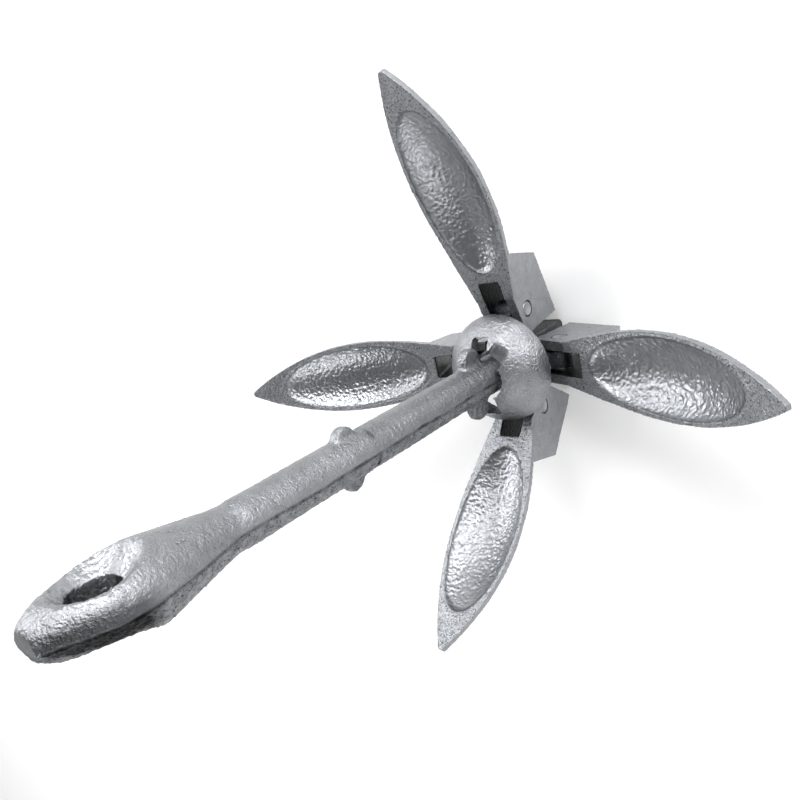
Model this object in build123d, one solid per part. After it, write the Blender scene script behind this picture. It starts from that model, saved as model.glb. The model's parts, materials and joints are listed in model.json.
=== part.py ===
from build123d import *
from math import atan2, cos, pi, radians, sin
import os

# A four-fluke folding grapnel anchor, with its collar down and its flukes open. +Z runs up the
# shank to the eye, and z = 0 is the crown's flat foot. The flukes point along +X, +Y, -X and -Y.
# Sizes are in millimetres and angles in degrees.

# Flukes
fluke_count = 4
fluke_reach = 145.0         # from the pivot to the tip
root_tilt = 20.0            # how far an open fluke's root is raised towards the eye
lifted_tilt = 44.0          # the same for the fluke that has swung up against the collar
lifted_fluke = 2            # the fluke that lies along -X
blade_pitch = 6.0           # how far the blade is raised from its root
blade_bend = 20.0           # where the blade leaves the root's front face, from the pivot
blade_half_width = 22.0
blade_thickness = 4.5
blade_sag = 5.0             # how far the middle of the blade dips behind the line to its tip
widest_at = 74.0            # from the pivot, along the blade
shoulder_at = 11.5          # where the blade's sides start, from the pivot
shoulder_slope = 0.22       # how fast the blade widens there
tip_slope = 0.62            # how fast it narrows at its tip
tip_half_width = 1.6
scoop_start = 29.0
scoop_end = 123.0
scoop_half_width = 18.5
scoop_depth = 8.0
bulge_skirt = 12.2          # how far the bulge behind the scoop runs past each end of the scoop
bulge_sink = 0.45           # how far the bulge's ends sink into the blade's back

# Forked fluke roots, whose heels reach down beside the crown
fork_half_width = 12.5
fork_gap = 12.0
root_front = 9.0            # front face, above the pivot
root_back = 25.0            # back face, below the pivot
heel_in = 18.5              # back face's inner end, from the pivot
heel_out = 21.0             # back face's outer end, from the pivot
root_length = 33.0          # from the pivot to where the root's end meets the blade
root_end_top = 2.2          # top of the root's end, above the pivot
root_end_foot = 4.5         # where the root's end starts to slant, below the pivot
slot_length = 22.0          # from the pivot to the closed end of the slot

# Crown
pivot_radius = 28.5         # from the shank's axis to each pivot
foot_depth = 32.0           # from the pivots down to the foot
crown_top = 10.0            # above the pivots
core_half_width = 14.5
core_edge_radius = 2.5
tongue_end_radius = 6.8
web_drop = 16.3             # from the pivots down to the foot of each tongue's web
web_rise = 8.2              # from the pivots up to the top of each tongue's web
swing_clearance = 0.5       # between a fork's round end and the crown's core
side_clearance = 0.5        # between a tongue and each cheek
rivet_head_radius = 11.5
rivet_head_depth = 4.0
spigot_radius = 8.5

# Pins
pin_radius = 4.0
pin_running_clearance = 0.06
pin_end_gap = 0.4           # the pin's ends lie this far inside the cheeks

# Shank
shank_radius = 11.0
shank_length = 278.0        # from the top of the crown to the end of the eye
lug_length = 82.0           # the part of that which swells into the eye
eye_half_width = 21.0       # across the eye's face
eye_half_thickness = 17.0   # along the eye's bore
eye_bore_radius = 8.5
eye_centre_drop = 25.0      # from the end of the shank down to the bore's centre
eye_wall_length = 13.0      # the straight part of the bore
eye_flare_length = 9.0      # from the end of the wall to the rim, along the bore
eye_rim_radius = 19.5       # where the flare meets the faces
eye_end_radius = 3.0
eye_end_share = 0.4         # size of the shank's flat end, as a share of the eye
# Places along the swelling and how far it has grown there from the rod's size to the eye's.
eye_growth = ((0, 0), (0.17, 0.16), (0.34, 0.52), (0.51, 0.9), (0.62, 1), (0.75, 0.8), (0.88, 0.3))
nub_half_thickness = 3.6
nub_edge_radius = 2.0
lock_nub_height = 45.5      # centre of the lower pair, above the pivots
lock_nub_radius = 8.5
lock_nub_reach = 20.5
stay_nub_height = 144.0     # centre of the upper pair, above the pivots
stay_nub_radius = 7.0
stay_nub_reach = 15.8

# Sliding collar
collar_radius = 31.0
collar_rise = 23.5          # half-height of the full oval that the dome belongs to
collar_wall = 7.0
collar_gap = 1.0            # between the rim and the lifted fluke's front face
collar_bore_clearance = 0.6
keyway_clearance = 0.8
notch_angle = -40.0         # where the locking notches lie, about the shank
notch_depth = 5.0
stop_angle = -24.0
stop_length = 5.5
stop_width = 4.2
stop_height = 3.0

fit_reach = 200.0           # longer than any piece that it cuts

pivot_height = foot_depth
shank_foot = pivot_height + crown_top
swing_radius = pivot_radius - core_half_width - swing_clearance
tongue_thickness = fork_gap - 2 * side_clearance


def placed(shape, turn):
    """Turn a shape drawn along +X about the shank's axis."""
    return shape.rotate(Axis.Z, turn)


def barrel(start, middle, end, axis_height):
    """A barrel about an axis along X at the given height, from an arc through three radii."""
    outline = ThreePointArc(start, middle, end)
    outline += Polyline(end, (end[0], 0), (start[0], 0), start)
    return Pos(0, 0, axis_height) * revolve(make_face(outline), Axis.X, 360)


def make_blade():
    """The scooped leaf, with its bend at the origin and its tip on the plane z = 0."""
    reach = fluke_reach - blade_bend
    shoulder = shoulder_at - blade_bend
    edge = Spline(
        (shoulder, fork_half_width),
        (widest_at - blade_bend, blade_half_width),
        (reach, tip_half_width),
        tangents=[(1, shoulder_slope), (1, -tip_slope)],
    )
    outline = edge + Line((reach, tip_half_width), (reach, 0))
    outline += Line((reach, 0), (shoulder, 0))
    outline += Line((shoulder, 0), (shoulder, fork_half_width))
    half = make_face(outline)
    leaf = half + mirror(half, Plane.XZ)

    def dip(along):
        """How far the blade's front face lies below the line from its bend to its tip."""
        return blade_sag * (1 - (2 * along / reach - 1) ** 2)

    # The scoop is part of a barrel whose axis lies above the front face.
    rise = (scoop_half_width**2 - scoop_depth**2) / (2 * scoop_depth) - blade_sag
    start = scoop_start - blade_bend
    end = scoop_end - blade_bend
    middle = (start + end) / 2
    deepest = rise + dip(middle) + scoop_depth
    scoop = barrel((start, rise + dip(start)), (middle, deepest), (end, rise + dip(end)), rise)
    thin = blade_thickness - bulge_sink
    back_start = start - bulge_skirt
    back_end = end + bulge_skirt
    back = barrel(
        (back_start, rise + dip(back_start) + thin),
        (middle, deepest + blade_thickness),
        (back_end, rise + dip(back_end) + thin),
        rise,
    )

    # The leaf itself is a strip that bends gently up to its tip.
    foot = (shoulder, -dip(shoulder))
    centre = (reach / 2, -blade_sag)
    front = ThreePointArc(foot, centre, (reach, 0))
    under = ThreePointArc(
        (reach, -blade_thickness), (centre[0], centre[1] - blade_thickness),
        (foot[0], foot[1] - blade_thickness),
    )
    strip = front + Line((reach, 0), (reach, -blade_thickness)) + under
    strip += Line((foot[0], foot[1] - blade_thickness), foot)
    bent = extrude(Plane.XZ * make_face(strip), fit_reach, both=True)
    below = front + Polyline((reach, 0), (reach, -fit_reach), (foot[0], -fit_reach), foot)
    behind = extrude(Plane.XZ * make_face(below), fit_reach, both=True)
    column = extrude(leaf, fit_reach, both=True)
    return (column & bent) + (column & behind & back), scoop


def make_root():
    """The deep block behind the blade's foot, before its slot is cut."""
    front_in = (swing_radius**2 - root_front**2) ** 0.5
    side = Polyline(
        (-swing_radius, 0),
        (-heel_in, -root_back),
        (heel_out, -root_back),
        (root_length, -root_end_foot),
        (root_length, root_end_top),
        (blade_bend, root_front),
        (-front_in, root_front),
    )
    turn = pi - atan2(root_front, front_in) / 2
    side += ThreePointArc(
        (-front_in, root_front),
        (swing_radius * cos(turn), swing_radius * sin(turn)),
        (-swing_radius, 0),
    )
    return extrude(Plane.XZ * make_face(side), fork_half_width, both=True)


def make_fluke():
    """A fluke with its pivot at the origin, its root along +X and its scoop facing +Z."""
    to_root = Pos(blade_bend, 0, root_front) * Rot(0, -blade_pitch, 0)
    blade, scoop = make_blade()
    fluke = make_root() + to_root * blade - to_root * scoop
    depth = root_front + root_back
    slot = Box(
        swing_radius + slot_length + heel_in, fork_gap, 4 * depth,
        align=(Align.MAX, Align.CENTER, Align.CENTER),
    )
    fluke -= Pos(slot_length, 0, 0) * slot
    fluke -= Rot(90, 0, 0) * Cylinder(pin_radius + pin_running_clearance, 3 * fork_half_width)
    return fluke


def make_crown():
    """The cross-shaped casting that carries the shank and the four pins."""
    core_height = foot_depth + crown_top
    core = Box(
        2 * core_half_width, 2 * core_half_width, core_height,
        align=(Align.CENTER, Align.CENTER, Align.MIN),
    )
    core = fillet(core.edges().filter_by(Axis.Z), core_edge_radius)
    crown = core
    for number in range(fluke_count):
        # A tongue's side view is a web that narrows to a round end about the pivot.
        inner = core_half_width / 2
        web = Polyline(
            (inner, pivot_height - web_drop),
            (pivot_radius, pivot_height - tongue_end_radius),
            (pivot_radius, pivot_height + tongue_end_radius),
            (inner, pivot_height + web_rise),
            (inner, pivot_height - web_drop),
        )
        side = Plane.XZ * make_face(web)
        tongue = extrude(side, tongue_thickness / 2, both=True)
        end = Rot(90, 0, 0) * Cylinder(tongue_end_radius, tongue_thickness)
        tongue += Pos(pivot_radius, 0, pivot_height) * end
        crown += placed(tongue, 360 / fluke_count * number)
    for number in range(fluke_count):
        hole = Rot(90, 0, 0) * Cylinder(pin_radius, 2 * tongue_thickness)
        crown -= placed(Pos(pivot_radius, 0, pivot_height) * hole, 360 / fluke_count * number)
    crown -= Cylinder(spigot_radius, fit_reach)
    crown -= rivet_head()
    return crown


def rivet_head():
    """The space of the peened head that holds the spigot in the crown."""
    return Cone(
        rivet_head_radius, spigot_radius, rivet_head_depth,
        align=(Align.CENTER, Align.CENTER, Align.MIN),
    )


def make_pin():
    length = 2 * (fork_half_width - pin_end_gap)
    pin = Rot(90, 0, 0) * Cylinder(pin_radius, length)
    return Pos(pivot_radius, 0, pivot_height) * pin


def oval(height, half_width, half_thickness):
    return Pos(0, 0, height) * Ellipse(half_thickness, half_width)


def nub_pair(height, radius, reach):
    """Two half-round lugs that stand out of the shank along +X and -X."""
    lug = Rot(90, 0, 0) * Cylinder(radius, 2 * nub_half_thickness)
    lug = fillet(lug.edges(), nub_edge_radius)
    centre = reach - radius
    pair = [Pos(side * centre, 0, pivot_height + height) * lug for side in (1, -1)]
    return pair[0] + pair[1]


def eye_hole():
    """The eye's bore along X, whose straight wall flares out into both faces."""
    wall = eye_wall_length / 2
    rim = wall + eye_flare_length
    outline = Polyline(
        (0, 0), (0, eye_bore_radius), (wall, eye_bore_radius), (rim, eye_rim_radius),
        (fit_reach, eye_rim_radius), (fit_reach, 0), (0, 0),
    )
    half = revolve(make_face(outline), Axis.X, 360)
    return half + mirror(half, Plane.YZ)


def make_shank():
    """The rod, its swollen eye end, its two pairs of lugs and its spigot."""
    top = shank_foot + shank_length
    swell = top - lug_length
    sections = []
    for share, grown in eye_growth:
        half_width = shank_radius + grown * (eye_half_width - shank_radius)
        half_thickness = shank_radius + grown * (eye_half_thickness - shank_radius)
        sections.append(oval(swell + share * lug_length, half_width, half_thickness))
    sections.append(oval(top, eye_half_width * eye_end_share, eye_half_thickness * eye_end_share))
    eye_end = loft([section.face() for section in sections])
    tip = eye_end.faces().sort_by(Axis.Z)[-1]
    eye_end = fillet(tip.edges(), eye_end_radius)
    rod = Pos(0, 0, shank_foot) * Cylinder(
        shank_radius, swell - shank_foot, align=(Align.CENTER, Align.CENTER, Align.MIN)
    )
    eye_end -= Pos(0, 0, top - eye_centre_drop) * eye_hole()
    shank = rod + eye_end
    shank += nub_pair(lock_nub_height, lock_nub_radius, lock_nub_reach)
    shank += nub_pair(stay_nub_height, stay_nub_radius, stay_nub_reach)
    spigot = Cylinder(spigot_radius, shank_foot, align=(Align.CENTER, Align.CENTER, Align.MIN))
    return shank + spigot + rivet_head()


def make_collar():
    """The domed collar, with keyways for the lugs and shallow notches that lock on them."""
    lifted = radians(lifted_tilt)
    along = (collar_radius - pivot_radius + root_front * sin(lifted)) / cos(lifted)
    rim = pivot_height + along * sin(lifted) + root_front * cos(lifted) + collar_gap
    bore = shank_radius + collar_bore_clearance

    def oval_dome(radius, rise):
        arc = EllipticalCenterArc((0, 0), radius, rise, start_angle=0, arc_size=90)
        quarter = make_face(arc + Polyline((0, rise), (0, 0), (radius, 0)))
        return Pos(0, 0, rim) * revolve(Plane.XZ * quarter, Axis.Z, 360)

    hollow_radius = collar_radius - collar_wall
    collar = oval_dome(collar_radius, collar_rise)
    top = rim + collar_rise * (1 - (bore / collar_radius) ** 2) ** 0.5

    stop = Box(
        stop_length, stop_width, 2 * stop_height, align=(Align.MIN, Align.CENTER, Align.MAX)
    )
    groove_reach = lock_nub_reach + keyway_clearance
    groove_width = 2 * (nub_half_thickness + keyway_clearance)
    groove = Box(groove_reach, groove_width, fit_reach, align=(Align.MIN, Align.CENTER, Align.MIN))
    for side in (0, 180):
        collar += placed(Pos(bore, 0, top + stop_height) * stop, stop_angle + side)
        collar -= placed(Pos(0, 0, top - notch_depth) * groove, notch_angle + side)
        collar -= placed(Pos(0, 0, rim) * groove, side)
    collar -= oval_dome(hollow_radius, collar_rise - collar_wall)
    collar -= Cylinder(bore, 2 * fit_reach)
    return collar


os.makedirs("parts", exist_ok=True)
export_step(make_shank(), "parts/shank.step")
export_step(make_crown(), "parts/crown.step")
export_step(make_collar(), "parts/lock_collar.step")
fluke = make_fluke()
pin = make_pin()
for number, name in enumerate(("px", "py", "nx", "ny")):
    turn = 360 / fluke_count * number
    tilt = lifted_tilt if number == lifted_fluke else root_tilt
    open_fluke = Pos(pivot_radius, 0, pivot_height) * Rot(0, -tilt, 0) * fluke
    export_step(placed(open_fluke, turn), f"parts/fluke_{name}.step")
    export_step(placed(pin, turn), f"parts/pin_{name}.step")
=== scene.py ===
# %% [markdown]
# # A galvanised folding grapnel
# The anchor is a handful of rough iron castings: an eyed shank, a domed collar that slides on it,
# four scooped flukes and the small crown that they fold on. All of it was dipped in molten zinc
# after casting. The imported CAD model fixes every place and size. Here each casting gets the soft
# edges, the crinkled zinc and the casting marks that a CAD solid can't carry.

# %% Load the frame
import json
import math

import bpy
import numpy as np
from mathutils import Matrix, Vector, noise


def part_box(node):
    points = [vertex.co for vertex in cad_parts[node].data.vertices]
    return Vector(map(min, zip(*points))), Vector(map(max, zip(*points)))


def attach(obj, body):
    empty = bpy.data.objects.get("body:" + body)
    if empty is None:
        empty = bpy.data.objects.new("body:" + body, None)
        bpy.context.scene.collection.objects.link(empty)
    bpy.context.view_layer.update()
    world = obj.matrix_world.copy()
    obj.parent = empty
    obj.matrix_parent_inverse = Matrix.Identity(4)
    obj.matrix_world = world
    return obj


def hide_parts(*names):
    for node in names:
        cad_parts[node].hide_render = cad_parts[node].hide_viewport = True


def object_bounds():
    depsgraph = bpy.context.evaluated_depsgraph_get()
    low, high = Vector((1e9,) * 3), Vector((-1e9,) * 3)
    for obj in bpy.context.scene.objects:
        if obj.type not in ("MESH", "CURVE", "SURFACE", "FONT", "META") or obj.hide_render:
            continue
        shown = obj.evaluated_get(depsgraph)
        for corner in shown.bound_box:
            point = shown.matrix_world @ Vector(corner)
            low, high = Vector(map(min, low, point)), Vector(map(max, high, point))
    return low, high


MM = 0.001
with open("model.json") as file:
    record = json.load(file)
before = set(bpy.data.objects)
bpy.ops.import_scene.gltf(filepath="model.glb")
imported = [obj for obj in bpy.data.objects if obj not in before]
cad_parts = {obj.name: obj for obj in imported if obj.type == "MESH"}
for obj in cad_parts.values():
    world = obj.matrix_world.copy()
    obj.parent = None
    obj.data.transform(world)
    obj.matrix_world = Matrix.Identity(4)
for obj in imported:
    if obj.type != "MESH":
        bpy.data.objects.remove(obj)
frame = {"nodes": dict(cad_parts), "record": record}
cad_low, cad_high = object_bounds()
print("CAD box, mm:", [round(x / MM, 1) for x in (*cad_low, *cad_high)])

# %% [markdown]
# ## Reading the frame
# The finishing work needs to know where things are. The pins' boxes give the flukes' pivots, the
# crown's and the collar's boxes give where the bare rod starts, and the record gives the eye's
# height. The tilts, the blade's bend, the scoop, the radii and the lugs' height are repeated from
# the CAD, because a box doesn't tell them.

# %% Places, in millimetres
FLUKES = ("fluke_px", "fluke_py", "fluke_nx", "fluke_ny")
LIFTED = "fluke_nx"
OPEN_TILT = math.radians(20)
LIFTED_TILT = math.radians(44)
BLADE_PITCH = math.radians(6)   # the blade, raised from its root
BLADE_BEND = 20.0               # where the blade leaves the root, from the pivot
ROOT_FRONT = 9.0                # the root's front face, above the pivot
SCOOP = (9.0, 103.0)            # the scoop's ends, along the blade from its bend
SCOOP_HALF_WIDTH = 18.5


def pivot_of(fluke):
    """The middle of the fluke's pin, which is what it folds on."""
    low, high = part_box(fluke.replace("fluke", "pin"))
    return np.array((low + high) / 2) / MM


ROD_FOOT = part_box("crown")[1].z / MM
COLLAR_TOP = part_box("lock_collar")[1].z / MM
ROD_RADIUS = 11.0
EYE_HEIGHT = frame["record"]["mounts"][0]["pos_m"][2] / MM
EYE_BORE = 8.5
STAY_NUB = 176.0                # centre of the upper pair of lugs
print("eye at", EYE_HEIGHT, "mm, collar's top at", round(COLLAR_TOP, 1), "mm")

# %% [markdown]
# ## One helper for nodes, one for colours
# Shader trees and Geometry Nodes trees are built alike: a node, its settings, and what goes into
# it. Colours are written as the hex values that a colour picker shows, and turned linear here.


# %% Node and colour helpers
def add_node(tree, kind, inputs=None, **settings):
    """Add a node, set its properties, and set or link its inputs."""
    node = tree.nodes.new(kind)
    for name, value in settings.items():
        setattr(node, name, value)
    for socket, value in (inputs or {}).items():
        if isinstance(value, bpy.types.NodeSocket):
            tree.links.new(value, node.inputs[socket])
        else:
            node.inputs[socket].default_value = value
    return node


def linear(hex_colour):
    """A hex colour as linear red, green and blue, with full opacity."""
    channels = [int(hex_colour[i:i + 2], 16) / 255 for i in (1, 3, 5)]
    return [c / 12.92 if c <= 0.04045 else ((c + 0.055) / 1.055) ** 2.4 for c in channels] + [1]


print("mid grey #808080 is", round(linear("#808080")[0], 3), "in linear light")

# %% [markdown]
# ## Soft cast copies
# Sand castings have no sharp edges, and the zinc fills the inner corners. A copy of each CAD mesh
# has its loose triangles merged, and a voxel remesh gives it an even skin of small faces. A few
# rounds of smoothing then melt the edges. Bevels would do the same on simple parts, but they fail
# where a scoop runs out into a blade. The shank gets the most rounds, because its rod and eye are
# the roundest shapes here, and the flukes the fewest, because their rims are still crisp.


# %% Make the soft copies
def mesh_from(obj):
    """The object's evaluated mesh, with all of its modifiers in it."""
    bpy.context.view_layer.update()
    graph = bpy.context.evaluated_depsgraph_get()
    return bpy.data.meshes.new_from_object(obj.evaluated_get(graph), depsgraph=graph)


def bake(obj):
    """Turn an object and its modifiers into a plain mesh in the same object."""
    mesh = mesh_from(obj)
    obj.modifiers.clear()
    obj.data = mesh
    return obj


def soft_copy(node, voxel, rounds):
    """A copy of a CAD node with an even skin and melted edges."""
    mesh = frame["nodes"][node].data.copy()
    mesh.materials.clear()
    copy = bpy.data.objects.new(f"cast_{node}", mesh)
    bpy.context.scene.collection.objects.link(copy)
    weld = copy.modifiers.new("weld", "WELD")
    weld.merge_threshold = 0.002 * MM
    bake(copy)
    remesh = copy.modifiers.new("even skin", "REMESH")
    remesh.mode = "VOXEL"
    remesh.voxel_size = voxel * MM
    melt = copy.modifiers.new("melted edges", "SMOOTH")
    melt.factor = 0.5
    melt.iterations = rounds
    bake(copy)
    print(copy.name, len(copy.data.vertices), "points")
    return copy


voxel = 0.7
fine_voxel = voxel * 0.85       # for the castings with thin walls and small notches
castings = {node: soft_copy(node, fine_voxel, 3) for node in (*FLUKES, "crown")}
castings["shank"] = soft_copy("shank", voxel, 9)
castings["lock_collar"] = soft_copy("lock_collar", fine_voxel, 5)

# %% [markdown]
# ## Melt the eye's rims
# Round the eye the edges are softer than anywhere else, where a shackle has rubbed and the zinc
# pooled. Smoothing the whole shank that far would shrink its lugs, so a vertex group limits it to
# a ring round the bore, strongest at the rim.


# %% Melt the eye
EYE_RIM = 19.0                  # from the bore's axis to the middle of the softened ring
EYE_RIM_REACH = 7.0             # how far the softening runs to each side of that
EYE_FOOT = 230.0                # the eye end starts above this height


def melt_eye(shank, rounds):
    """Round the eye's rims further, where years of shackles and zinc have softened them."""
    group = shank.vertex_groups.new(name="eye")
    for vertex in shank.data.vertices:
        across = math.hypot(vertex.co.y, vertex.co.z - EYE_HEIGHT * MM) / MM
        near = 1 - abs(across - EYE_RIM) / EYE_RIM_REACH
        if near > 0 and vertex.co.z > EYE_FOOT * MM:
            group.add([vertex.index], min(1, near * 2), "REPLACE")
    melt = shank.modifiers.new("melted eye", "SMOOTH")
    melt.factor = 0.5
    melt.iterations = rounds
    melt.vertex_group = "eye"
    bake(shank)
    shank.vertex_groups.clear()


melt_eye(castings["shank"], 40)
print("eye melted:", len(castings["shank"].data.vertices), "points in the shank")

# %% [markdown]
# ## Working on the skin point by point
# Some marks belong to one spot: the parting line of the mould, a ring below the lugs, the crisp
# drop into a scoop. Sculpting by hand would do it once, but rules can be run again after a change
# of size. So they are pushed into the even skin point by point. Small helpers read and write the
# points in millimetres, keep a painted value for each point, and give a smooth step and a smooth
# random value.


# %% Point helpers
def read_points(mesh):
    """The mesh's points, in millimetres."""
    flat = np.empty(len(mesh.vertices) * 3, np.float32)
    mesh.vertices.foreach_get("co", flat)
    return flat.reshape(-1, 3).astype(float) / MM


def read_normals(mesh):
    """The direction that each point faces."""
    flat = np.empty(len(mesh.vertices) * 3, np.float32)
    mesh.vertex_normals.foreach_get("vector", flat)
    return flat.reshape(-1, 3).astype(float)


def write_points(mesh, points):
    """Move the mesh's points to these places, in millimetres."""
    mesh.vertices.foreach_set("co", (points * MM).astype(np.float32).ravel())
    mesh.update()


def paint(mesh, name, values):
    """Keep a value for each point, for the skin's node tree and for the material."""
    layer = mesh.attributes.new(name, "FLOAT", "POINT")
    layer.data.foreach_set("value", np.clip(values, 0, 1).astype(np.float32))


def step(low, high, values):
    """0 below low, 1 above high, and a smooth rise between."""
    t = np.clip((values - low) / (high - low), 0, 1)
    return t * t * (3 - 2 * t)


def wander(points, size, seed=0.0):
    """A smooth random value from about -1 to 1 for each point."""
    offset = Vector((seed * 7.3, seed * 3.1, seed * 5.7))
    return np.array([noise.noise(Vector(p) / size + offset) for p in points])


skin_points = sum(len(piece.data.vertices) for piece in castings.values())
print("points to work on:", skin_points)

# %% [markdown]
# ## Which skin goes where
# Zinc lies differently over the anchor. In the scoops it froze into worm-like crinkles, on the
# fork's flat cheeks it drained thin, and the rims caught grit. Each region is found in the
# fluke's own directions and painted on the points as values from 0 to 1:
# - `crinkle`, the depth of the worm-like crinkles;
# - `pebble`, the depth of the fine pebbles, and how much frost the material shows there;
# - `ripple`, the depth of the rings round the rod;
# - `beads`, how many frozen drops there are;
# - `grit`, for pits and dark rough specks;
# - `soot_and_shade`, an uneven dark tone, and painted shade in slots, creases and on the crown.


# %% Find places on a fluke
def fluke_places(fluke, points):
    """Places along and across a fluke's root and along its blade, and where the blade faces."""
    pivot = pivot_of(fluke)
    turn = math.atan2(pivot[1], pivot[0])
    tilt = LIFTED_TILT if fluke == LIFTED else OPEN_TILT
    out = np.array((math.cos(turn), math.sin(turn), 0))
    across = np.array((-math.sin(turn), math.cos(turn), 0))
    up = np.array((0, 0, 1))
    from_pivot = points - pivot
    along = from_pivot @ (out * math.cos(tilt) + up * math.sin(tilt))
    above = from_pivot @ (up * math.cos(tilt) - out * math.sin(tilt))
    a, h = along - BLADE_BEND, above - ROOT_FRONT
    blade_along = a * math.cos(BLADE_PITCH) + h * math.sin(BLADE_PITCH)
    front = up * math.cos(tilt + BLADE_PITCH) - out * math.sin(tilt + BLADE_PITCH)
    return along, from_pivot @ across, blade_along, front


for fluke in FLUKES:
    along = fluke_places(fluke, read_points(castings[fluke].data))[0]
    print(fluke, "runs", round(float(along.max()), 1), "mm out from its pivot")

# %% [markdown]
# ## Paint and shape the flukes
# The scoop is an ellipse on the blade's front, so one number says where a point lies in it: below
# 1 it is inside, above 1 outside. The rim is the rest of the front, and the cheeks are the fork's
# flat sides. The scoop drops off its rim with a crisp little step, which smoothing had melted, and
# a low lip runs round it. The blade's outer edge waves a little, as a hand-made pattern's does.


# %% Paint the flukes
ROOT_END = (30, 34)             # where the root's cheeks run out, from the pivot
CLEAR_OF_FORK = (34, 40)        # from here on there is only blade
SLOT_SIDE = (6.2, 6.8)          # the slot's side, across the fluke
SLOT_END = (22.5, 24)           # the slot's closed end
CHEEK_FROM = (11, 12)           # the outer cheeks lie further across than this
FRONT_FACING = (0.2, 0.5)       # how squarely a point faces the way the blade does
SCOOP_DROP = 0.85
LIP_HEIGHT = 0.2


def paint_fluke(fluke, seed):
    """Paint one fluke's values, then cut the scoop's step and shave its waving outer edge."""
    mesh = castings[fluke].data
    points, normals = read_points(mesh), read_normals(mesh)
    along, across, blade_along, front = fluke_places(fluke, points)
    facing = normals @ front
    middle, half = (SCOOP[0] + SCOOP[1]) / 2, (SCOOP[1] - SCOOP[0]) / 2
    edge = ((blade_along - middle) / half) ** 2 + (across / SCOOP_HALF_WIDTH) ** 2
    scoop = step(*FRONT_FACING, facing) * (1 - step(0.85, 1.1, edge))
    rim = step(*FRONT_FACING, facing) * (1 - scoop)
    cheek = step(0.75, 0.95, np.abs(normals @ np.cross(front, (0, 0, 1)))
                 / np.linalg.norm(np.cross(front, (0, 0, 1))))
    cheek *= 1 - step(*ROOT_END, along)
    patches = wander(points, 9, seed)
    clear_of_fork = step(*CLEAR_OF_FORK, along)
    # Painted shade: the fork's slot is darkened to near black, and a thin dark line runs round the
    # scoop's edge.
    slot = 0.95 * (1 - step(*SLOT_SIDE, np.abs(across))) * (1 - step(*SLOT_END, along))
    scoop_edge_shade = 0.45 * np.exp(-((edge - 1.0) / 0.045) ** 2) * step(0.1, 0.4, facing)
    paint(mesh, "crinkle", 0.35 + 0.65 * scoop + 0.05 * rim - 0.15 * cheek)
    paint(mesh, "beads", 0.8 * rim * clear_of_fork + 0.4 * (1 - scoop) * clear_of_fork
          + cheek * step(*CHEEK_FROM, np.abs(across)))
    paint(mesh, "grit", 0.6 * rim + 0.35 * (1 - scoop) * (1 - cheek) + 0.35 * patches * (1 - scoop))
    paint(mesh, "soot_and_shade", slot + scoop_edge_shade)
    paint(mesh, "pebble", 0.35 + 0.4 * rim + 0.4 * cheek)
    drop = (1 - step(0.90, 1.02, edge)) * step(*FRONT_FACING, facing)
    lip = np.exp(-((edge - 1.12) / 0.08) ** 2) * step(*FRONT_FACING, facing)
    wave = 0.5 * wander(points, 14, seed + 20)
    points += front * (LIP_HEIGHT * lip - SCOOP_DROP * drop)[:, None]
    points -= normals * (0.25 + wave * 0.5)[:, None] * step(34, 44, along)[:, None]
    write_points(mesh, points)
    return scoop.mean()


for number, fluke in enumerate(FLUKES):
    share = paint_fluke(fluke, number + 1.0)
    print(fluke, "has", round(100 * share), "% of its points in the scoop")

# %% [markdown]
# ## The shank's casting marks
# The mould's two halves met in a plane along the shank, square to the eye's bore. On the real
# casting a thin dark crease shows there on both narrow sides, with a rough dark band behind it.
# The half behind it was a little smaller round the eye. Iron shrinks in fine rings round the rod
# as it cools, and near the collar the rod is pitted. A texture could draw the crease, but only a
# real groove catches the light along its edge. The groove and the ring mark are also painted
# darker, as painted shade.


# %% Work on the shank
LINE_OFFSET = 1.2               # how far the crease lies behind the shank's middle plane
CREASE_DEPTH = 0.8
EYE_TUCK = 2.6                  # how far the rear half of the eye stands in
RING_BELOW_NUB = 11             # the ring mark, below the upper lugs


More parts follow.
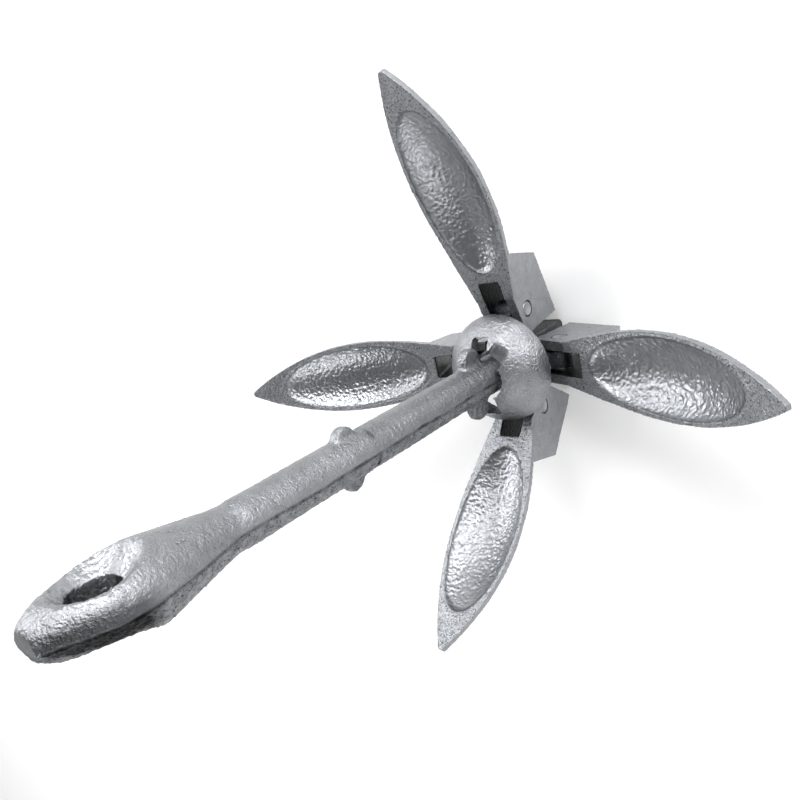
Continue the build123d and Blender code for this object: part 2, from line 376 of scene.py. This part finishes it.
def work_on_shank():
    """Cut the shank's crease, tuck and ring, and paint its values."""
    mesh = castings["shank"].data
    points, normals = read_points(mesh), read_normals(mesh)
    x, y, z = points.T
    above_crown = step(ROD_FOOT, ROD_FOOT + 3, z)
    in_bore = 1 - step(EYE_BORE + 7, EYE_BORE + 9, np.hypot(y, z - EYE_HEIGHT))

    # The crease runs along both narrow sides and wanders a little.
    line = x + LINE_OFFSET + 1.0 * wander(points * (0, 0, 1), 22, 3)
    side = step(0.2, 0.6, np.abs(normals[:, 1])) * above_crown * (1 - in_bore)
    crease = np.exp(-(line / 0.7) ** 2) * (0.75 + 0.5 * wander(points, 6, 4))
    below = step(0.0, 1.6, -line) * (1 - step(6, 11, -line))
    points -= normals * ((CREASE_DEPTH * crease + 0.35 * below) * side)[:, None]

    # The half of the mould behind the crease was a little smaller round the eye.
    tuck = step(EYE_HEIGHT - 14, EYE_HEIGHT - 2, z) * step(1, 6, -x)
    points += np.array((1, 0, 0)) * (EYE_TUCK * tuck)[:, None]
    rough_half = step(-0.5, 1.5, -line) * step(-0.3, 0.3, np.abs(normals[:, 1])) * above_crown
    band = (crease * side + rough_half) * (0.8 + 0.5 * wander(points, 7, 5))

    # A ring mark just below the upper lugs.
    ring = np.exp(-((z - (STAY_NUB - RING_BELOW_NUB)) / 0.9) ** 2) * (np.hypot(x, y) < ROD_RADIUS + 1)
    ring = ring * step(-0.3, 0.2, wander(points, 9, 6))
    points -= normals * (0.45 * ring)[:, None]
    write_points(mesh, points)

    near_collar = 1 - step(COLLAR_TOP + 10, COLLAR_TOP + 50, z)
    swell = step(215, 270, z)
    paint(mesh, "crinkle", 0.26 + 0.1 * swell + 0.6 * in_bore + 0.2 * near_collar + 0.3 * rough_half)
    paint(mesh, "pebble", 0.8 + 0.3 * rough_half - 0.4 * in_bore)
    paint(mesh, "grit", band + 0.25 + 0.3 * near_collar + 0.3 * wander(points, 12, 8))
    paint(mesh, "ripple", (1 - swell) * above_crown)
    paint(mesh, "beads", 0.5 * rough_half + 0.25 * above_crown)
    # A darker, uneven tone for the whole rod, with painted shade in the crease and the ring mark. The
    # rough half behind the crease is darkened in patches, more round the eye.
    shade = 0.2 + 0.12 * wander(points, 25, 11) + 0.7 * crease * side + 0.6 * ring
    shade += rough_half * (0.25 * step(-0.3, 0.3, wander(points, 3, 9)) + 0.35 * tuck)
    # Painted shade on the side of the eye's end that faces -Y.
    tip_side_shade = step(EYE_HEIGHT - 16, EYE_HEIGHT - 4, z) * step(0.55, 0.85, -normals[:, 1])
    shade += 0.5 * tip_side_shade * (1 - step(3, 8, x))
    paint(mesh, "soot_and_shade", shade)
    return points


shank_points = work_on_shank()
print("shank stands", round(float(shank_points[:, 2].max()), 1), "mm high after its marks")

# %% [markdown]
# ## The crown and the collar
# The crown sits in the dark under the collar, so it only gets an even rough skin, and its colour
# is painted much darker, as painted shade. The collar's dome is finely pebbled where the mould sand
# was coarse, and hardly crinkled, because it drained well. Both stand back a little, to leave room
# for the zinc.


# %% Work on the crown and collar
ZINC_ROOM = 0.15
for node, crinkle in (("crown", 0.5), ("lock_collar", 0.15)):
    mesh = castings[node].data
    points = read_points(mesh)
    patches = wander(points, 8, crinkle)
    paint(mesh, "crinkle", crinkle + 0.15 * patches)
    paint(mesh, "pebble", 1 + 0 * patches)
    paint(mesh, "beads", 0 * patches + (0.3 if node == "lock_collar" else 0.0))
    paint(mesh, "grit", 0.25 + 0.4 * patches)
    # The crown is painted dark as painted shade; the collar gets only a faint uneven dark tone.
    paint(mesh, "soot_and_shade", 0.1 * patches + (0.75 if node == "crown" else 0.08))
    points -= read_normals(mesh) * ZINC_ROOM
    write_points(mesh, points)
    print(node, "painted, crinkle about", crinkle)

# %% [markdown]
# ## The zinc skin
# Hot-dip zinc freezes as crinkles about a millimetre and a half wide, with finer pebbles on top,
# a few pits where flux burned off, and small beads where drops froze as the casting drained. A
# rule says all of that, so it is a Geometry Nodes tree: noise fields push the points along their
# normals, and flattened beads are scattered over what they leave. The noise only pushes inwards,
# because the CAD's box is the outside of the zinc. The painted values say how much of each there
# is. All widths and depths are in millimetres.


# %% Build the zinc skin's tree
def skin_tree():
    """The tree of noise and beads that lays zinc on a casting."""
    tree = bpy.data.node_groups.new("zinc skin", "GeometryNodeTree")
    face = tree.interface
    face.new_socket("Casting", in_out="INPUT", socket_type="NodeSocketGeometry")
    sizes = {"Crinkle width": 1.5, "Crinkle depth": 1.4, "Pebble width": 1.2, "Pebble depth": 0.8,
             "Pit width": 5.0, "Pit depth": 0.5, "Ripple width": 1.9, "Ripple depth": 0.6,
             "Bead radius": 0.75, "Beads per square metre": 9000.0, "Seed": 1.0}
    for name, value in sizes.items():
        socket = face.new_socket(name, in_out="INPUT", socket_type="NodeSocketFloat")
        socket.default_value = value
    face.new_socket("Zinc", in_out="INPUT", socket_type="NodeSocketMaterial")
    face.new_socket("Casting", in_out="OUTPUT", socket_type="NodeSocketGeometry")
    given = add_node(tree, "NodeGroupInput").outputs
    place = add_node(tree, "GeometryNodeInputPosition").outputs[0]
    in_mm = add_node(tree, "ShaderNodeVectorMath", {0: place, "Scale": 1 / MM},
                     operation="SCALE").outputs["Vector"]

    def math_of(kind, a, b):
        return add_node(tree, "ShaderNodeMath", {0: a, 1: b}, operation=kind).outputs[0]

    def noise_of(width, **settings):
        inputs = {"Vector": in_mm, "W": given["Seed"], "Scale": math_of("DIVIDE", 1.0, width)}
        inputs.update(settings)
        return add_node(tree, "ShaderNodeTexNoise", inputs, noise_dimensions="4D").outputs[0]

    def painted(name):
        return add_node(tree, "GeometryNodeInputNamedAttribute", {"Name": name},
                        data_type="FLOAT").outputs["Attribute"]

    crinkle = noise_of(given["Crinkle width"], Detail=1.5, Roughness=0.45, Distortion=0.7)
    crinkle = math_of("MULTIPLY", crinkle, given["Crinkle depth"])
    crinkle = math_of("MULTIPLY", crinkle, painted("crinkle"))
    pebble = noise_of(given["Pebble width"], Detail=1.0)
    pebble = math_of("MULTIPLY", pebble, given["Pebble depth"])
    pebble = math_of("MULTIPLY", pebble, painted("pebble"))
    pit = noise_of(given["Pit width"], Detail=3.0, Roughness=0.6)
    # Only the noise's highest peaks become pits, so they stay few and apart.
    pit = add_node(tree, "ShaderNodeMapRange",
                   {"Value": pit, "From Min": 0.62, "From Max": 0.74, "To Min": 0.0, "To Max": 1.0},
                   interpolation_type="SMOOTHSTEP").outputs[0]
    pit = math_of("MULTIPLY", math_of("MULTIPLY", pit, given["Pit depth"]), painted("grit"))
    # Squeezing the noise's places across the rod draws its blobs out into rings.
    squeezed = add_node(tree, "ShaderNodeVectorMath", {0: in_mm, 1: (0.22, 0.22, 1.0)},
                        operation="MULTIPLY").outputs[0]
    ripple = noise_of(given["Ripple width"], Vector=squeezed, Detail=2.0, Distortion=0.4)
    ripple = math_of("MULTIPLY", math_of("MULTIPLY", ripple, given["Ripple depth"]),
                     painted("ripple"))
    depth = math_of("ADD", math_of("ADD", crinkle, pebble), math_of("ADD", pit, ripple))
    normal = add_node(tree, "GeometryNodeInputNormal").outputs[0]
    push = add_node(tree, "ShaderNodeVectorMath",
                    {0: normal, "Scale": math_of("MULTIPLY", depth, -MM)},
                    operation="SCALE").outputs["Vector"]
    moved = add_node(tree, "GeometryNodeSetPosition",
                     {"Geometry": given["Casting"], "Offset": push}).outputs[0]
    spots = add_node(tree, "GeometryNodeDistributePointsOnFaces",
                     {"Mesh": moved, "Seed": given["Seed"],
                      "Density": math_of("MULTIPLY", painted("beads"),
                                         given["Beads per square metre"])})
    bead = add_node(tree, "GeometryNodeMeshIcoSphere",
                    {"Radius": math_of("MULTIPLY", given["Bead radius"], MM), "Subdivisions": 2})
    size = add_node(tree, "FunctionNodeRandomValue", {"Min": (0.45, 0.45, 0.3), "Max": (1.3, 1.0, 0.55),
                                                     "Seed": given["Seed"]},
                    data_type="FLOAT_VECTOR").outputs["Value"]
    beads = add_node(tree, "GeometryNodeInstanceOnPoints",
                     {"Points": spots.outputs["Points"], "Instance": bead.outputs["Mesh"],
                      "Rotation": spots.outputs["Rotation"], "Scale": size}).outputs[0]
    joined = add_node(tree, "GeometryNodeJoinGeometry", {0: moved})
    tree.links.new(beads, joined.inputs[0])
    smooth = add_node(tree, "GeometryNodeSetShadeSmooth", {0: joined.outputs[0]}).outputs[0]
    real = add_node(tree, "GeometryNodeRealizeInstances", {0: smooth}).outputs[0]
    done = add_node(tree, "GeometryNodeSetMaterial",
                    {"Geometry": real, "Material": given["Zinc"]}).outputs[0]
    add_node(tree, "NodeGroupOutput", {0: done})
    return tree


def run_tree(obj, tree, **values):
    """Run a node tree on an object with the given inputs, and bake it to a plain mesh."""
    modifier = obj.modifiers.new(tree.name, "NODES")
    modifier.node_group = tree
    for item in tree.interface.items_tree:
        key = item.name.lower().replace(" ", "_")
        if item.item_type == "SOCKET" and item.in_out == "INPUT" and key in values:
            modifier[item.identifier] = values[key]
    return bake(obj)


zinc_skin = skin_tree()
print("zinc skin:", len(zinc_skin.nodes), "nodes")

# %% [markdown]
# ## Galvanised zinc
# Hot-dip galvanised iron is a metal with a broad soft gloss, brighter where the zinc lies thick
# and duller where it is thin or gritty. The colour comes from patches 5 mm wide,
# with dark grit in the painted regions. A bump 0.9 mm wide stands for the frost of crystals, which
# is really finer, but would not show if it were drawn so small. Zinc is fully metallic and keeps
# the default IOR. Its roughness starts at 0.2 to 0.35 and rises where it is gritty or pebbled. The
# pins have the same zinc, a shade paler and more satin, because it lies on turned steel.


# %% Mix the zinc
# Near black, for painted shade and for a dark tone.
SOOT_AND_SHADE_COLOUR = "#1D1E1F"


def galvanised(name, bright, dull, grit, gloss):
    """A hot-dip zinc finish from its bright, dull and gritty colours, and its roughness range."""
    material = bpy.data.materials.new(name)
    material.use_nodes = True
    tree = material.node_tree
    tree.nodes.clear()
    place = add_node(tree, "ShaderNodeTexCoord").outputs["Object"]

    def noise_of(width_mm, detail, rough=0.55):
        return add_node(tree, "ShaderNodeTexNoise",
                        {"Vector": place, "Scale": 1 / (width_mm * MM), "Detail": detail,
                         "Roughness": rough}).outputs["Fac"]

    def ranged(value, low, high, to_low, to_high):
        return add_node(tree, "ShaderNodeMapRange",
                        {"Value": value, "From Min": low, "From Max": high, "To Min": to_low,
                         "To Max": to_high}, interpolation_type="SMOOTHSTEP").outputs[0]

    def mixed(factor, a, b):
        node = add_node(tree, "ShaderNodeMix", {0: factor, 6: a, 7: b}, data_type="RGBA")
        return node.outputs[2]

    def times(a, b):
        return add_node(tree, "ShaderNodeMath", {0: a, 1: b}, operation="MULTIPLY").outputs[0]

    patches = noise_of(5.0, 3.0)
    specks = ranged(noise_of(0.9, 3.0, 0.7), 0.52, 0.66, 0, 1)
    gritty = add_node(tree, "ShaderNodeAttribute", attribute_name="grit").outputs["Fac"]
    soot_and_shade_mask = add_node(tree, "ShaderNodeAttribute", attribute_name="soot_and_shade").outputs["Fac"]
    worn = times(specks, ranged(gritty, 0.1, 0.9, 0.1, 1.0))
    colour = mixed(patches, linear(dull), linear(bright))
    colour = mixed(worn, colour, linear(grit))
    # The painted dark value mixes in near black: painted shade in slots, creases and on the crown, and
    # an uneven dark tone elsewhere.
    colour = mixed(soot_and_shade_mask, colour, linear(SOOT_AND_SHADE_COLOUR))
    rough = ranged(patches, 0, 1, gloss[1], gloss[0])
    pebbled = add_node(tree, "ShaderNodeAttribute", attribute_name="pebble").outputs["Fac"]
    dulled = add_node(tree, "ShaderNodeMath", {0: times(worn, 0.3), 1: times(pebbled, 0.1)},
                      operation="ADD").outputs[0]
    rough = add_node(tree, "ShaderNodeMath", {0: rough, 1: dulled}, operation="ADD").outputs[0]
    frost = times(noise_of(0.9, 3.0), ranged(pebbled, 0.0, 1.0, 0.5, 1.7))
    bump = add_node(tree, "ShaderNodeBump", {"Height": frost, "Strength": 0.7,
                                            "Distance": 0.45 * MM}).outputs[0]
    shader = add_node(tree, "ShaderNodeBsdfPrincipled",
                      {"Base Color": colour, "Metallic": 1.0, "Roughness": rough,
                       "Normal": bump}).outputs[0]
    add_node(tree, "ShaderNodeOutputMaterial", {"Surface": shader})
    return material


zinc = galvanised("hot-dip galvanised iron", "#A9ABAE", "#8A8C91", "#3E3F42", (0.21, 0.33))
satin_zinc = galvanised("zinc on turned steel", "#B5B8BB", "#919496", "#4A4C4E", (0.24, 0.36))
print("finishes:", zinc.name, "and", satin_zinc.name)

# %% [markdown]
# ## Dress the castings
# Each soft copy goes through the skin tree, rides on its body and takes the place of its CAD node,
# which is hidden. The seed differs, so no two flukes show the same crinkles. The shank and the crown
# are riveted together and share a body, the collar slides on its own, and each fluke folds on its own.


# %% Run the skin on every casting
BODY_OF = {"shank": "base", "crown": "base", "lock_collar": "collar"}
BODY_OF.update({fluke: fluke for fluke in FLUKES})
SEED_STEP = 1.7
for number, (node, piece) in enumerate(castings.items()):
    run_tree(piece, zinc_skin, seed=SEED_STEP * number, zinc=zinc)
    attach(piece, BODY_OF[node])
    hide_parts(node)
    print(piece.name, len(piece.data.polygons), "faces")

# %% [markdown]
# ## Rivet pins
# Each fluke hangs on a steel pin whose ends were chamfered, a little dished by the hammer, and
# dipped with the rest. A pin could be a cylinder with a bevel, but the dish wants a profile. So a
# half profile is turned about the pin's own axis, ring by ring, at the size that the CAD pin's box
# gives. Copies of it stand on the four pivots.


# %% Pins
def pin_mesh():
    """One pin along its own Y, with chamfered and slightly dished ends."""
    low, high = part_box("pin_px")
    radius, length = (high.z - low.z) / 2, high.y - low.y
    # Each pair is a share of the radius and of the length.
    profile = [(0.0, -0.46), (0.55, -0.468), (0.86, -0.495), (0.93, -0.497), (1.0, -0.475)]
    profile += [(1.0, -0.25), (1.0, 0.0)]
    profile += [(r, -h) for r, h in reversed(profile[:-1])]
    count = 40
    points, faces = [], []
    for r, h in profile:
        if r == 0:
            points.append((0.0, h * length, 0.0))
        else:
            points += [(r * radius * math.cos(2 * math.pi * k / count), h * length,
                        r * radius * math.sin(2 * math.pi * k / count)) for k in range(count)]
    last = len(points) - 1
    rings = (len(points) - 2) // count
    for k in range(count):
        after = (k + 1) % count
        faces.append((0, 1 + after, 1 + k))
        for ring in range(rings - 1):
            a, b = 1 + ring * count, 1 + (ring + 1) * count
            faces.append((a + k, a + after, b + after, b + k))
        a = 1 + (rings - 1) * count
        faces.append((last, a + k, a + after))
    mesh = bpy.data.meshes.new("pin")
    mesh.from_pydata(points, [], faces)
    return mesh


for fluke in FLUKES:
    node = fluke.replace("fluke", "pin")
    mesh = pin_mesh()
    pivot = pivot_of(fluke) * MM
    turn = math.atan2(pivot[1], pivot[0])
    mesh.transform(Matrix.Translation(pivot) @ Matrix.Rotation(turn, 4, "Z"))
    mesh.shade_smooth()
    mesh.materials.append(satin_zinc)
    pin = bpy.data.objects.new(f"rivet_{node}", mesh)
    bpy.context.scene.collection.objects.link(pin)
    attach(pin, "base")
    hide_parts(node)
    print(pin.name, len(mesh.polygons), "faces")

# %% [markdown]
# ## Floor and backdrop
# The anchor stands on a sheet of pale matt paper that curves up all round, as in a studio.
# A plain flat floor would end in a hard edge in the low views, and polished zinc would mirror that
# edge. So a profile, flat and then a quarter turn up, is turned about Z. A touch of emission keeps
# the paper white with less light on the metal.


# %% Floor and backdrop
def studio_sweep():
    """A round pale floor that curves up into a low wall, drawn as a profile turned about Z."""
    floor_radius, bend, wall_top, count = 2.8, 1.1, 2.6, 64     # metres, and faces round
    profile = [(0.6, 0.0), (floor_radius, 0.0)]
    for k in range(1, 9):
        turn = math.pi / 2 * k / 8
        profile.append((floor_radius + bend * math.sin(turn), bend * (1 - math.cos(turn))))
    profile.append((floor_radius + bend, wall_top))
    points = [(0.0, 0.0, 0.0)]
    for r, h in profile:
        points += [(r * math.cos(2 * math.pi * k / count), r * math.sin(2 * math.pi * k / count), h)
                   for k in range(count)]
    faces = []
    for k in range(count):
        after = (k + 1) % count
        faces.append((0, 1 + k, 1 + after))
        for ring in range(len(profile) - 1):
            a, b = 1 + ring * count, 1 + (ring + 1) * count
            faces.append((a + after, a + k, b + k, b + after))
    mesh = bpy.data.meshes.new("studio sweep")
    mesh.from_pydata(points, [], faces)
    mesh.shade_smooth()
    material = bpy.data.materials.new("pale matt paper")
    material.use_nodes = True
    shader = material.node_tree.nodes["Principled BSDF"]
    shader.inputs["Base Color"].default_value = linear("#F4F4F4")
    shader.inputs["Roughness"].default_value = 0.9
    shader.inputs["Specular IOR Level"].default_value = 0.1
    shader.inputs["Emission Color"].default_value = linear("#FFFFFF")
    shader.inputs["Emission Strength"].default_value = 0.1
    mesh.materials.append(material)
    sweep = bpy.data.objects.new("studio_sweep", mesh)
    sweep.location.z = cad_low.z - 0.5 * MM
    bpy.context.scene.collection.objects.link(sweep)
    return floor_radius + bend


print("paper sweep of", studio_sweep(), "m radius")

# %% [markdown]
# ## Camera
# The camera looks down the shank from above the eye, so the eye comes forward, large and low on the
# left, and the flukes spread behind it. Three directions fix how it is turned: its right, its up,
# and from their cross product the way its back faces. They come from fitting a camera to the
# anchor's proportions, and a lens of about 34 mm gives the strong perspective of a close view.


# %% Camera
camera_place = Vector((0.1077, -0.2300, 0.3805))
right = Vector((-0.2118, -0.7526, -0.6235)).normalized()
up = Vector((0.9386, 0.0212, -0.3443)).normalized()
back = right.cross(up).normalized()
up = back.cross(right)
camera_data = bpy.data.cameras.new("camera")
camera_data.lens = 33.56
camera_data.sensor_width = 36
camera_data.clip_start = 0.01
camera = bpy.data.objects.new("camera", camera_data)
camera.matrix_world = Matrix.Translation(camera_place) @ Matrix((right, up, back)).transposed().to_4x4()
bpy.context.scene.collection.objects.link(camera)
bpy.context.scene.camera = camera
print("camera stands", round(camera_place.length / MM), "mm from the foot of the crown")

# %% [markdown]
# ## Lights
# Zinc shows what it reflects, so the lights are placed for their reflections. Four softboxes stand
# low in a ring and overhead stays darker. Then the flat rims, which face up, mirror the dark, and
# the curved scoops catch the boxes. The widest is the low key at the front, two more stand at the
# side and the back, and a narrow strip stands opposite. A weak white world fills the rest.


# %% Lights
LIGHT_RADIUS = 2.4              # metres from the anchor's middle
WORLD_STRENGTH = 0.25


def softbox(name, place, aim, size, power):
    """A rectangular area light that faces the aim."""
    data = bpy.data.lights.new(name, "AREA")
    data.shape = "RECTANGLE"
    data.size, data.size_y = size
    data.energy = power
    lamp = bpy.data.objects.new(name, data)
    lamp.location = place
    lamp.rotation_euler = (Vector(aim) - Vector(place)).to_track_quat("-Z", "Y").to_euler()
    bpy.context.scene.collection.objects.link(lamp)


LIGHTS = {                      # direction, size in metres, power in watts
    "low key": ((0.74, -0.64, 0.24), (1.6, 1.0), 40),
    "side": ((0.84, 0.00, 0.52), (1.3, 1.0), 42),
    "back": ((0.36, 0.80, 0.46), (1.3, 1.0), 30),
    "strip": ((-0.84, -0.12, 0.52), (1.5, 0.7), 20),
}
middle = Vector((0, 0, 0.1))
for name, (direction, size, power) in LIGHTS.items():
    softbox(name, middle + Vector(direction).normalized() * LIGHT_RADIUS, middle, size, power)
world = bpy.data.worlds.new("studio")
world.use_nodes = True
world.node_tree.nodes["Background"].inputs["Color"].default_value = linear("#FFFFFF")
world.node_tree.nodes["Background"].inputs["Strength"].default_value = WORLD_STRENGTH
bpy.context.scene.world = world
bpy.context.scene.view_settings.view_transform = "Standard"
print(len(LIGHTS), "softboxes,", sum(power for _, _, power in LIGHTS.values()), "W in all")
